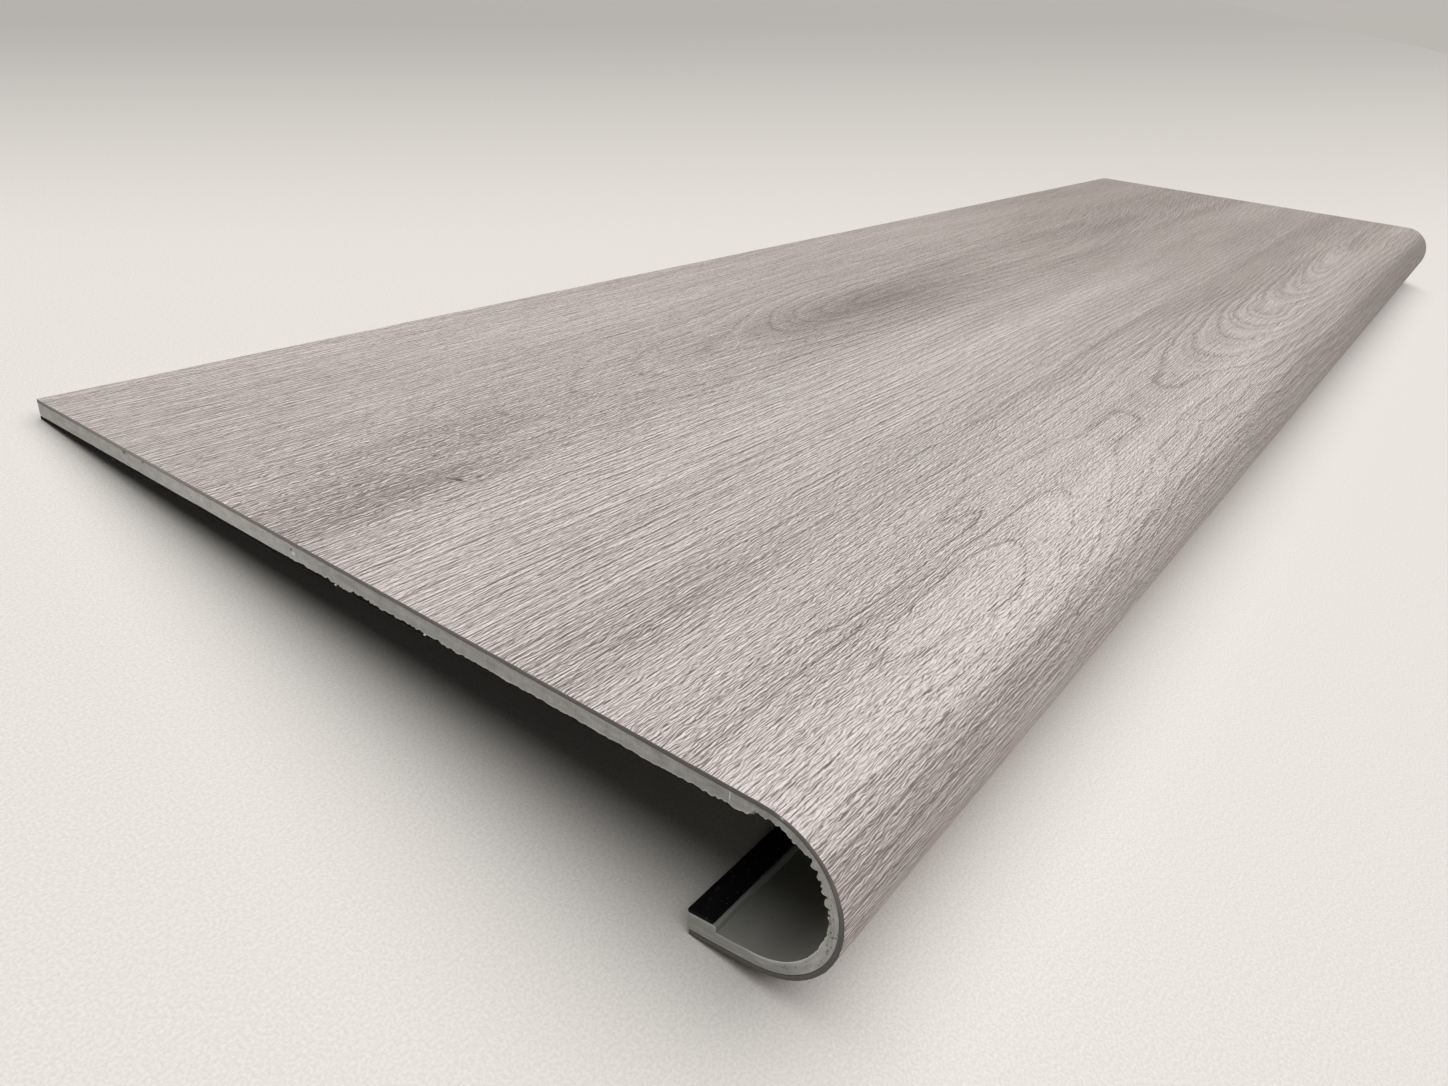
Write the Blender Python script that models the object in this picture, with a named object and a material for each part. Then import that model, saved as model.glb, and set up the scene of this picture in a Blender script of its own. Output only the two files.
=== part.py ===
"""Stair tread of rigid-core vinyl flooring, with its front edge heat-bent into a hooked nose.

The tread is made flat as a laminate: a printed vinyl face, a mineral-filled rigid core and a thin
foam underlay. A channel is routed through the underlay and part of the core, and the thinned
stretch is heated and folded round a former, so the face runs unbroken over the nose and back
under it to a short lip. Every layer is drawn here as it is on the flat laminate, by its length
along the face and its depth under it, and is carried round the bend by one function.

X runs along the stair's width, -Y is the nose and +Y the back edge. The tread lies as it does
unheld on a floor: tipped back on the corner of its back edge and on the end of its lip.
"""

import math

import bmesh
import bpy

MM = 0.001

# Overall sizes of the tread
tread_length = 1200 * MM  # across the stair
tread_depth = 350 * MM  # from the back edge to the front of the nose

# The laminate, from the face down
face_thickness = 1.4 * MM
core_thickness = 5.2 * MM
underlay_thickness = 1.1 * MM
glue_line = 0.1 * MM  # between one layer and the next

# The folded nose
nose_radius = 24 * MM  # outside of the bend
bend_angle = math.radians(173)  # it springs back from a full 180
lip_length = 18.7 * MM  # straight stretch after the bend

# The channel routed out of the back of the laminate before the fold
channel_depth = 2.0 * MM  # cut into the core
channel_lead = 1.8 * MM  # cut on the board, behind the start of the bend
lip_land = 8.2 * MM  # left at full thickness along the lip's end
land_corner_radius = 0.9 * MM  # the router leaves a round corner on the lip's land
board_chamfer = 1.5 * MM  # and a sloping shoulder on the board

# Fineness of the round stretches
bend_steps = 60
corner_steps = 5

# Lengths along the face, from the back edge
board_length = tread_depth - nose_radius
bend_length = nose_radius * bend_angle
face_length = board_length + bend_length + lip_length
channel_start = board_length - channel_lead
channel_end = face_length - lip_land
corner_radius = min(land_corner_radius, channel_depth / 2)  # a shallow channel has a smaller one
lip_underlay_start = channel_end + corner_radius
tread_underlay_end = channel_start - board_chamfer

# Depths under the face
core_top = face_thickness + glue_line
core_bottom = core_top + core_thickness
channel_roof = core_bottom - channel_depth
underlay_top = core_bottom + glue_line
underlay_bottom = underlay_top + underlay_thickness


def section_point(along, depth):
    """The (y, z) place, on the level tread, of a point of the flat laminate.

    The face of the board is at z 0 and its back edge at y 0.
    """
    turned = min(max((along - board_length) / nose_radius, 0.0), bend_angle)
    straight = along - board_length - nose_radius * turned
    radius = nose_radius - depth
    y = -board_length - radius * math.sin(turned) - straight * math.cos(turned)
    z = -nose_radius + radius * math.cos(turned) - straight * math.sin(turned)
    return y, z


def stations(start, end):
    """Lengths along the face where a line at one depth needs a point."""
    bend = [board_length + bend_length * step / bend_steps for step in range(bend_steps + 1)]
    return [start, *[place for place in bend if start < place < end], end]


def line_at(depth, start, end):
    """Points of a layer's surface that follows the face at one depth."""
    return [(along, depth) for along in stations(start, end)]


def core_underside():
    """Points of the core's back surface, from the lip's end to the back edge."""
    corner = [
        (
            lip_underlay_start - corner_radius * math.sin(turn),
            core_bottom - corner_radius * (1 - math.cos(turn)),
        )
        for turn in (math.pi / 2 * step / corner_steps for step in range(corner_steps + 1))
    ]
    channel = line_at(channel_roof, channel_start, channel_end)
    return [
        (face_length, core_bottom),
        *corner,
        *reversed(channel),
        (tread_underlay_end, core_bottom),
        (0.0, core_bottom),
    ]


def face_outline():
    outer = line_at(0.0, 0.0, face_length)
    inner = line_at(face_thickness, 0.0, face_length)
    return outer + inner[::-1]


def core_outline():
    return line_at(core_top, 0.0, face_length) + core_underside()


def underlay_outline(start, end):
    outer = line_at(underlay_top, start, end)
    inner = line_at(underlay_bottom, start, end)
    return outer + inner[::-1]


def rest_placement():
    """The tilt at which the tread lies unheld, and where its back edge then is.

    It rests on two corners: the underlay's at the back edge and the face's at the lip's end.
    The middle of the depth, as it then lies, is put over the origin.
    """
    back_y, back_z = section_point(0.0, underlay_bottom)
    lip_y, lip_z = section_point(face_length, 0.0)
    tilt = math.atan2(back_z - lip_z, back_y - lip_y)
    reaches = [
        y * math.cos(tilt) + z * math.sin(tilt)
        for y, z in (section_point(*place) for place in face_outline())
    ]
    height = back_y * math.sin(tilt) - back_z * math.cos(tilt)
    return tilt, -(min(reaches) + max(reaches)) / 2, height


def material(name, colour, roughness):
    made = bpy.data.materials.new(name)
    made.use_nodes = True
    surface = made.node_tree.nodes["Principled BSDF"]
    surface.inputs["Base Color"].default_value = (*colour, 1.0)
    surface.inputs["Roughness"].default_value = roughness
    surface.inputs["Metallic"].default_value = 0.0
    return made


def extruded_layer(name, outline, finish, parent):
    """One layer: its outline on the laminate, carried round the bend and run along the tread."""
    shape = bmesh.new()
    corners = [shape.verts.new((-tread_length / 2, *section_point(*place))) for place in outline]
    end_face = shape.faces.new(corners)
    swept = bmesh.ops.extrude_face_region(shape, geom=[end_face])["geom"]
    moved = [item for item in swept if isinstance(item, bmesh.types.BMVert)]
    bmesh.ops.translate(shape, verts=moved, vec=(tread_length, 0.0, 0.0))
    bmesh.ops.recalc_face_normals(shape, faces=shape.faces)
    mesh = bpy.data.meshes.new(name)
    shape.to_mesh(mesh)
    shape.free()
    mesh.shade_smooth()
    mesh.set_sharp_from_angle(angle=math.radians(20))
    mesh.materials.append(finish)
    layer = bpy.data.objects.new(name, mesh)
    layer.parent = parent
    bpy.context.scene.collection.objects.link(layer)
    return layer


def main():
    for old in list(bpy.data.objects):
        bpy.data.objects.remove(old)

    tilt, middle, height = rest_placement()
    rest_pose = bpy.data.objects.new("rest_pose", None)
    rest_pose.rotation_euler = (-tilt, 0.0, 0.0)
    rest_pose.location = (0.0, middle, height)
    bpy.context.scene.collection.objects.link(rest_pose)

    oak_print = material("oak_print_vinyl", (0.40, 0.36, 0.34), 0.5)
    mineral_core = material("mineral_core", (0.26, 0.27, 0.25), 0.75)
    foam = material("black_foam", (0.012, 0.012, 0.013), 0.9)

    extruded_layer("vinyl_face", face_outline(), oak_print, rest_pose)
    extruded_layer("rigid_core", core_outline(), mineral_core, rest_pose)
    board_strip = underlay_outline(0.0, tread_underlay_end)
    lip_strip = underlay_outline(lip_underlay_start, face_length)
    extruded_layer("tread_underlay", board_strip, foam, rest_pose)
    extruded_layer("lip_underlay", lip_strip, foam, rest_pose)


main()
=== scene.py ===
"""Dresses the stair tread: an oak-print vinyl face, a sawn mineral core and black foam underlay.

The tread is one length of laminate, routed thin at the back and folded round into a hooked nose.
Each layer is made here as it is on the flat laminate, with its grain relief, saw marks, chips and
torn edges. It is then folded round the nose and laid at rest, so it sits where its solid does.
A place on the flat laminate is x along the tread, s along the face from the back edge and d under
the face.
"""

import math

import bmesh
import bpy
import numpy as np
from mathutils import Matrix, Vector


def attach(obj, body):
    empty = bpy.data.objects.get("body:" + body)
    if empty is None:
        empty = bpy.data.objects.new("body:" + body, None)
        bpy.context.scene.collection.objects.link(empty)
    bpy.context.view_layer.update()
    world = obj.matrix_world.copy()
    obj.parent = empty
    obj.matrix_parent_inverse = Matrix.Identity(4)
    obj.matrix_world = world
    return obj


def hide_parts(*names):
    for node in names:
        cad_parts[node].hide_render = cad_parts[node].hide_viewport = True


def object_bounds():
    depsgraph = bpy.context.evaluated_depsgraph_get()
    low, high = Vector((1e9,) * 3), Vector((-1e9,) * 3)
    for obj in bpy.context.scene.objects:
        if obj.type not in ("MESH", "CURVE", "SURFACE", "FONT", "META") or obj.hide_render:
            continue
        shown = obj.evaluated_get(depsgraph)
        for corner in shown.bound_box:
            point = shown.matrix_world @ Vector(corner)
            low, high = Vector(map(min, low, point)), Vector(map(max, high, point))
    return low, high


MM = 0.001

# The laminate and its fold, as in the solids
TREAD_LENGTH = 1200 * MM
TREAD_DEPTH = 350 * MM
FACE_THICKNESS = 1.4 * MM
CORE_THICKNESS = 5.2 * MM
UNDERLAY_THICKNESS = 1.1 * MM
GLUE_LINE = 0.1 * MM
NOSE_RADIUS = 24 * MM
BEND_ANGLE = math.radians(173)
LIP_LENGTH = 18.7 * MM
CHANNEL_DEPTH = 2.0 * MM
CHANNEL_LEAD = 1.8 * MM
LIP_LAND = 8.2 * MM
LAND_CORNER_RADIUS = 0.9 * MM
BOARD_CHAMFER = 1.5 * MM

BOARD_LENGTH = TREAD_DEPTH - NOSE_RADIUS
BEND_LENGTH = NOSE_RADIUS * BEND_ANGLE
FACE_LENGTH = BOARD_LENGTH + BEND_LENGTH + LIP_LENGTH
CHANNEL_START = BOARD_LENGTH - CHANNEL_LEAD
CHANNEL_END = FACE_LENGTH - LIP_LAND
BOARD_STRIP_END = CHANNEL_START - BOARD_CHAMFER
LIP_STRIP_START = CHANNEL_END + LAND_CORNER_RADIUS

CORE_TOP = FACE_THICKNESS + GLUE_LINE
CORE_BOTTOM = CORE_TOP + CORE_THICKNESS
CHANNEL_ROOF = CORE_BOTTOM - CHANNEL_DEPTH
UNDERLAY_TOP = CORE_BOTTOM + GLUE_LINE
UNDERLAY_BOTTOM = UNDERLAY_TOP + UNDERLAY_THICKNESS

NEAR_END = -TREAD_LENGTH / 2

# Too small to see: how wide a steep wall is, and how near to an end a point counts as on it
HAIR = 0.01 * MM

# The photograph's camera against the level board: x from its middle, y its back edge, z its face
CAMERA_PLACE = (-0.7523, -0.4128, 0.1509)
CAMERA_AZIMUTH = math.radians(-55.93)
CAMERA_ELEVATION = math.radians(27.15)
CAMERA_ROLL = math.radians(5.44)
CAMERA_LENS = 26.17
SENSOR_WIDTH = 36.0
PICTURE_RATIO = 0.75

# The studio: weak light from all round, two lamps, and a floor that reaches the horizon
AIR_LIGHT = 0.035
AIR_COLOUR = (1.0, 0.92, 0.82)
LAMP_COLOUR = (1.0, 0.985, 0.965)
FLOOR_REACH = 400.0
FLOOR_DROP = 0.1 * MM

# The floor's own colour, and the one it shows in its light, which the background takes up
FLOOR_COLOUR = (0.868, 0.846, 0.810)
FLOOR_SEEN = (0.80, 0.762, 0.708)

# The floor's level down the picture, darker towards the top as painted shade: a row, as a share of
# its height from the top, and the level
BACKDROP_ROWS = [
    (0.02, 0.555),
    (0.05, 0.62),
    (0.11, 0.785),
    (0.157, 0.89),
    (0.212, 0.98),
    (0.28, 1.0),
]

# Out of the picture the floor gets its level back: a share of a turn about its hub, and the level
BACKDROP_RETURN = [(0.62, 0.555), (1.0, 1.0)]

# The level of the background above the floor
BACKDROP_TOP = 0.622

NOISE_CELLS = 256
LAND_CORNER_STEPS = 6

# The grain hardly changes through the face: its length that way, in millimetres
GRAIN_THROUGH = 20

# The fewest rings to a millimetre that the width of a ring line is worked out from
LEAST_CLOSENESS = 0.065

# Patches of the print: how much, then centre and size in mm from the near end and the back edge
TONE_PATCHES = [
    (-0.130, (385, 124), (115, 22)),
    (-0.025, (400, 124), (140, 26)),
    (-0.070, (850, 120), (90, 13)),
    (-0.022, (1080, 130), (130, 18)),
    (-0.045, (85, 120), (60, 12)),
    (-0.055, (25, 150), (55, 15)),
    (-0.030, (46, 150), (20, 9)),
    (-0.022, (420, 40), (240, 45)),
    (-0.020, (720, 30), (200, 40)),
    (-0.035, (700, 76), (170, 24)),
    (0.026, (380, 210), (230, 38)),
    (-0.020, (640, 226), (170, 14)),
    (-0.040, (25, 256), (60, 9)),
    (-0.030, (140, 293), (90, 10)),
    (0.030, (800, 282), (110, 13)),
    (-0.050, (1035, 299), (65, 9)),
    (0.030, (800, 314), (110, 12)),
    # The light patches along the top of the nose near the near end, and the dark one just below, are
    # partly print and partly painted highlight and painted shade
    (0.050, (210, 318), (110, 9)),
    (0.030, (105, 320), (32, 5)),
    (0.080, (80, 332), (150, 10)),
    (-0.020, (160, 345), (50, 6)),
]
STRENGTH_PATCHES = [
    (-0.80, (50, 128), (100, 50)),
    (0.20, (330, 125), (190, 44)),
    (0.35, (150, 210), (260, 36)),
    (-0.30, (20, 290), (80, 20)),
    (1.20, (640, 298), (250, 30)),
    (0.70, (140, 309), (90, 16)),
]
FLECK_PATCHES = [
    (0.20, (90, 122), (130, 36)),
    (0.40, (230, 258), (200, 30)),
    (0.60, (110, 300), (230, 36)),
]


def fold(s, d):
    """The (y, z) places, on the level tread, of points of the flat laminate."""
    turned = np.clip((s - BOARD_LENGTH) / NOSE_RADIUS, 0.0, BEND_ANGLE)
    straight = s - BOARD_LENGTH - NOSE_RADIUS * turned
    radius = NOSE_RADIUS - d
    y = -BOARD_LENGTH - radius * np.sin(turned) - straight * np.cos(turned)
    z = -NOSE_RADIUS + radius * np.cos(turned) - straight * np.sin(turned)
    return y, z


def rest_placement():
    """The turn and move that lay the level tread down on its back corner and its lip's end."""
    back_y, back_z = fold(np.array(0.0), UNDERLAY_BOTTOM)
    lip_y, lip_z = fold(np.array(FACE_LENGTH), 0.0)
    tilt = math.atan2(back_z - lip_z, back_y - lip_y)
    low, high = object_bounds()
    turn = Matrix.Rotation(-tilt, 4, "X")
    back_corner = turn @ Vector((0.0, back_y, back_z))
    back_top = turn @ Vector((0.0, 0.0, 0.0))
    return Matrix.Translation((0.0, high.y - back_top.y, low.z - back_corner.z)) @ turn


def lattice_noise(u, v, seed):
    """Smooth noise from 0 to 1 over two coordinates, with one random value to each unit."""
    table = np.random.default_rng(seed).random((NOISE_CELLS, NOISE_CELLS))
    column = np.floor(u).astype(int)
    row = np.floor(v).astype(int)
    across = u - column
    down = v - row
    across = across * across * (3 - 2 * across)
    down = down * down * (3 - 2 * down)

    def corner(step_across, step_down):
        return table[(column + step_across) % NOISE_CELLS, (row + step_down) % NOISE_CELLS]

    near = corner(0, 0) * (1 - across) + corner(1, 0) * across
    far = corner(0, 1) * (1 - across) + corner(1, 1) * across
    return near * (1 - down) + far * down


def line_noise(along, period, seed):
    """Smooth noise from 0 to 1 along a line."""
    return lattice_noise(along / period, 0 * along, seed)


def band(value, centre, width):
    """A soft band, 1 at its centre."""
    return np.exp(-(((value - centre) / width) ** 2))


def spot(reach, back, centre, size):
    """A soft oval patch, 1 at its centre; places and sizes are in millimetres."""
    return band(reach, centre[0], size[0]) * band(back, centre[1], size[1])


def patches(reach, back, listed):
    """Soft oval patches added up, each with how much, its centre and its size."""
    return sum(amount * spot(reach, back, centre, size) for amount, centre, size in listed)


def smooth_between(low, high, value):
    """A smooth step of the value, from 0 at low to 1 at high."""
    share = np.clip((value - low) / (high - low), 0.0, 1.0)
    return share * share * (3 - 2 * share)


def plateau(value, rise, fall):
    """1 between two smooth steps, a rise and a fall, each given by its two ends."""
    return smooth_between(*rise, value) * (1 - smooth_between(*fall, value))


def knot_curl(reach, back):
    """Where the grain curls about the knot."""
    return spot(reach, back, (60, 140), (95, 45))


def grain_rise(reach, back):
    """How far the grain has climbed towards the back edge; it fans out along the tread."""
    fan = 26 * smooth_between(300, 720, reach) * (1 - smooth_between(-20, 190, back))
    dip = 14 * smooth_between(430, 740, reach) * band(back, 150, 65)
    past = reach - 760
    leaning = np.interp(back, [130, 230, 290, 330], [1, 0.5, 0.2, 0])
    lean = 0.06 * (past + np.hypot(past, 80)) * leaning
    return fan - dip + lean


def ring_count(reach, back):
    """Growth rings of the oak print, counted at places on the flat face given in millimetres.

    They are counted outwards from two pith lines, one down the board and one along the nose, up to
    a seam between them. Each line's height over the cut, also counted in rings, varies along the
    tread, and so draws the rings about it as nested arches.
    """
    wander = 5 * (lattice_noise(reach / 210, back / 70, 11) - 0.5)
    wander += 3.2 * (lattice_noise(reach / 60, back / 22, 12) - 0.5)
    wander += (1.6 + 7 * knot_curl(reach, back)) * (lattice_noise(reach / 19, back / 13, 13) - 0.5)
    wander += 1.1 * (lattice_noise(reach / 8, back / 9, 18) - 0.5)
    place = back + wander + grain_rise(reach, back)

    seam = np.interp(reach, [0, 250, 400, 560, 700, 900, 1200], [263, 261, 251, 247, 247, 252, 262])
    seam_rings = 28.0

    pith = 121.0
    height = np.interp(
        reach,
        [0, 60, 115, 165, 215, 280, 340, 385, 405, 440, 700, 780, 860, 960, 1040, 1200],
        [9.3, 9, 8, 7, 6, 4.6, 3, 1.6, 0.9, 0, 0, 1.3, 1.6, 0.8, 0, 0],
    )
    height += 0.9 * (line_noise(reach, 75, 14) - 0.5)
    above = pith - place
    below = (place - pith) / (seam - pith)
    across_above = np.interp(above, [0, 50, 250], [0, 6.9, 30])
    across_below = np.interp(below, [0, 0.28, 1], [0, 6.1, seam_rings])
    board = np.hypot(np.where(place < pith, across_above, across_below), height)

    nose_pith = 318 - 16 * smooth_between(60, 380, reach)
    nose_rings = 17.0
    nose_height = np.interp(
        reach,
        [0, 72, 140, 350, 410, 470, 540, 590, 625, 700, 760, 870, 980, 1200],
        [7.6, 7.0, 6.2, 9.6, 8.8, 7.7, 6.6, 5.6, 4.8, 3.6, 2.6, 1.5, 0.6, 0],
    )
    nose_height += 0.8 * (line_noise(reach, 55, 15) - 0.5)
    share = np.clip((nose_pith - place) / (nose_pith - seam), 0, 1)
    inside = np.sqrt(nose_rings**2 - nose_height**2) * share * (0.5 + 0.5 * share)
    nose = np.hypot(np.where(place < nose_pith, inside, (place - nose_pith) / 4.6), nose_height)
    nose += 2.2 * spot(reach, back, (125, 299), (80, 9))
    return np.where(place < seam, board, nose + seam_rings - nose_rings)


def figure_tone(reach, back):
    """How much lighter or darker than its middle tone the print is, with painted highlight and shade
    on the nose.
    """
    tone = 0.05 * (lattice_noise(reach / 260, back / 26, 16) - 0.5)
    tone += 0.045 * (lattice_noise(reach / 90, back / 9, 17) - 0.5)
    tone += patches(reach, back, TONE_PATCHES)

    # The far part is darker
    tone -= 0.009 * smooth_between(250, 500, reach)
    tone -= 0.068 * smooth_between(520, 1000, reach) * (1 - 0.7 * smooth_between(220, 320, back))
    tone -= 0.03 * smooth_between(600, 900, reach) * (1 - smooth_between(100, 160, back))
    tone -= 0.02 * smooth_between(600, 850, reach) * smooth_between(250, 300, back)
    tone -= 0.035 * smooth_between(950, 1090, reach) * plateau(back, (236, 262), (322, 340))

    # Bands that run along the board, and one dark line that drifts across it
    tone -= 0.013 * (1 - smooth_between(80, 150, back))
    tone -= 0.012 * plateau(back, (48, 64), (86, 100))
    tone -= 0.075 * band(back, 151, 14) * (1 - 0.45 * smooth_between(600, 760, reach))
    tone += 0.042 * band(back, 203, 12) * (1 - 0.4 * smooth_between(480, 650, reach))
    drift = 0.028 * (reach - 200)
    tone -= 0.05 * band(back + drift, 258, 1.5) * band(reach, 430, 260)

    # The dark heart along the pith line comes and goes
    heart = np.interp(
        reach,
        [0, 40, 100, 180, 240, 300, 400, 470, 550, 650, 750, 850, 950, 1050, 1200],
        [1.0, 0.7, 1.1, 1.2, 0.8, 0.3, 0.45, 0.7, 1.5, 2.0, 1.5, 0.6, 0.6, 0.85, 0.95],
    )
    tone -= 0.036 * heart * plateau(back, (84, 100), (128, 146))

    # Painted highlight and shade on the nose: painted light on top, and painted darker as it turns
    # down
    tone += 0.036 * band(back, 320, 7) - 0.038 * band(back, 345, 5)
    tone -= 0.034 * smooth_between(336, 350, back) + 0.035 * smooth_between(340, 354, back)
    tone -= 0.01 * smooth_between(354, 366, back) + 0.035 * smooth_between(356, 370, back)
    tone -= 0.04 * smooth_between(335, 350, back) * smooth_between(500, 900, reach)
    tone -= 0.026 * smooth_between(348, 355, back) * (1 - smooth_between(80, 130, reach))
    return tone


def oak_figure(x, s):
    """Rings, their closeness, tone, line strength, curl and fleckedness of the print; the tone also
    holds the painted light and shade on the nose.
    """
    reach = (x - NEAR_END) / MM
    back = s / MM
    rings = ring_count(reach, back)
    lengthwise = (ring_count(reach + 2, back) - rings) / 2
    crosswise = ring_count(reach, back + 1) - rings
    closeness = np.maximum(np.hypot(lengthwise, crosswise), LEAST_CLOSENESS)
    tone = figure_tone(reach, back)

    strength = 1 + patches(reach, back, STRENGTH_PATCHES)
    strength -= 0.35 * (1 - smooth_between(60, 95, back))
    strength -= 0.3 * smooth_between(500, 900, reach) * (1 - smooth_between(150, 260, back))
    fleck = 0.20 + patches(reach, back, FLECK_PATCHES)
    fleck += 0.25 * smooth_between(318, 345, back) * (1 - smooth_between(350, 700, reach))
    curl = knot_curl(reach, back)
    return rings, closeness, tone, np.clip(strength, 0, 2.2), curl, np.clip(fleck, 0, 1)


def face_relief(x, s, rings, curl):
    """How far the embossing is pressed into the face, following the print."""
    reach = (x - NEAR_END) / MM
    back = s / MM
    phase = rings - np.floor(rings)
    ring_valley = band(phase, 0.18, 0.16)
    waved = back + 1.6 * lattice_noise(reach / 14, back / 5, 21)
    ticks = lattice_noise(reach / 13, waved / 2.3, 22)
    wrinkles = lattice_noise(reach / 6.5, waved / 2.2, 23)
    press = 0.05 * ring_valley + 0.09 * ticks * ticks + (0.03 + 0.05 * curl) * wrinkles
    return press * MM


def stepped_noise(along, period, seed, steps=3):
    """Noise that holds one of a few levels and then jumps, as a chipped edge does."""
    return np.round(line_noise(along, period, seed) * steps) / steps


def torn_height(s):
    """How far the saw tore up the lower edge of the core at the near end, along the face."""
    back = s / MM
    teeth = 0.3 * stepped_noise(back, 6.0, 31) + 0.65 * stepped_noise(back, 1.7, 32)
    teeth += 0.75 * line_noise(back, 0.85, 33) - 0.85
    depth_at = [150, 165, 190, 250, 300, 316, 324.2, 324.3, 335, 350, 368, 380]
    depth = np.interp(back, depth_at, [0, 0.25, 0.6, 0.5, 0.8, 1.35, 1.9, 1.3, 0.9, 0.6, 0.2, 0])
    ragged_at = [150, 172, 222, 244, 300, 316, 330, 352, 384]
    ragged = np.interp(back, ragged_at, [0, 1, 1, 0.4, 0.4, 1, 1, 0.9, 0])
    nicks = 0.25 * np.clip(stepped_noise(back, 5.0, 34, 5) - 0.6, 0, 1)
    burrs = np.interp(back, [327, 333, 362, 368], [0, 1, 1, 0])
    burrs = burrs * (2.6 * np.clip(line_noise(back, 0.9, 35) - 0.5, 0, 1) + 0.1)
    return np.clip(depth + ragged * teeth + nicks + burrs, 0.0, 2.4) * MM


def land_corner():
    """Stations and depths round the corner from the channel to the lip's land."""
    turns = np.linspace(0.0, math.pi / 2, LAND_CORNER_STEPS)
    stations = LIP_STRIP_START - LAND_CORNER_RADIUS * np.cos(turns)
    return stations, CORE_BOTTOM - LAND_CORNER_RADIUS * (1 - np.sin(turns))


def core_underside(s):
    """Depth of the core's routed back surface along the laminate."""
    corner_s, corner_d = land_corner()
    line_s = [0.0, BOARD_STRIP_END, CHANNEL_START, CHANNEL_END - HAIR, *corner_s, FACE_LENGTH]
    line_d = [CORE_BOTTOM, CORE_BOTTOM, CHANNEL_ROOF, CHANNEL_ROOF, *corner_d, CORE_BOTTOM]
    return np.interp(s, line_s, line_d)


def end_share(x, reach):
    """1 at the near end, falling to 0 over the reach."""
    return np.clip(1 - (x - NEAR_END) / reach, 0.0, 1.0)


def torn_underside(x, s):
    """Depth of the core's back surface with what the saw tore away at the near end."""
    reach = (1.2 + 2.0 * line_noise(s / MM, 3.0, 41)) * MM
    return core_underside(s) - torn_height(s) * end_share(x, reach) ** 0.6


def is_on_end(x):
    """Whether points lie on one of the two cut ends."""
    return np.abs(np.abs(x) - TREAD_LENGTH / 2) < HAIR


def spaced(start, end, step):
    """Places from start to end, evenly spaced at about the step."""
    return np.linspace(start, end, max(2, round((end - start) / step) + 1))


def end_stops(finest, widest, growth):
    """Places along the tread, close together at its two ends and wide apart in the middle."""
    run = [0.0]
    step = finest
    while run[-1] + step < TREAD_LENGTH / 2:
        run.append(run[-1] + step)
        step = min(step * growth, widest)
    run = np.array(run)
    return np.concatenate([NEAR_END + run, -NEAR_END - run[::-1]])


def grid_block(stations, rows, stops):
    """A block on a grid of stations and rows, run through the stops: x, station and row as co."""
    shape = bmesh.new()
    bmesh.ops.create_grid(shape, x_segments=len(stations) - 1, y_segments=len(rows) - 1, size=0.5)
    for vert in shape.verts:
        station = stations[round((vert.co.x + 0.5) * (len(stations) - 1))]
        row = rows[round((vert.co.y + 0.5) * (len(rows) - 1))]
        vert.co = (stops[0], station, row)
    front = list(shape.faces)
    for step in np.diff(stops):
        # The edges go with the faces, or else every stop would leave a wall inside the block
        edges = list(dict.fromkeys(edge for face in front for edge in face.edges))
        swept = bmesh.ops.extrude_face_region(shape, geom=[*front, *edges])["geom"]
        front = [item for item in swept if isinstance(item, bmesh.types.BMFace)]
        moved = [item for item in swept if isinstance(item, bmesh.types.BMVert)]
        bmesh.ops.translate(shape, verts=moved, vec=(step, 0.0, 0.0))
    return shape


def outline_block(outline, cuts):
    """A block with one outline of (station, depth), run along x from 0 to 1 and cut across."""
    shape = bmesh.new()
    corners = [shape.verts.new((0.0, s, d)) for s, d in outline]
    swept = bmesh.ops.extrude_face_region(shape, geom=[shape.faces.new(corners)])["geom"]
    moved = [item for item in swept if isinstance(item, bmesh.types.BMVert)]
    bmesh.ops.translate(shape, verts=moved, vec=(1.0, 0.0, 0.0))
    lengthwise = [edge for edge in shape.edges if edge.verts[0].co.x != edge.verts[1].co.x]
    bmesh.ops.subdivide_edges(shape, edges=lengthwise, cuts=cuts)
    return shape


def vertex_array(mesh):
    """The three coordinates of the mesh's vertices, an array for each."""
    places = np.empty(len(mesh.vertices) * 3, np.float32)
    mesh.vertices.foreach_get("co", places)
    return places.reshape(-1, 3).astype(float).T


def store(mesh, name, columns):
    """Keeps up to three numbers for each vertex, for the materials to read."""
    values = np.zeros((len(mesh.vertices), 3), np.float32)
    values[:, : len(columns)] = np.stack(columns, 1)
    held = mesh.attributes.new(name, "FLOAT_VECTOR", "POINT")
    held.data.foreach_set("vector", values.ravel())


def dressed_piece(name, mesh, finishes, node=None):
    """Makes a mesh a piece of the tread, in place of a CAD node where one is named."""
    for finish in finishes:
        mesh.materials.append(finish)
    mesh.shade_smooth()
    piece = bpy.data.objects.new(name, mesh)
    bpy.context.scene.collection.objects.link(piece)
    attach(piece, "root")
    if node:
        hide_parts(node)
    return piece


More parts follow.
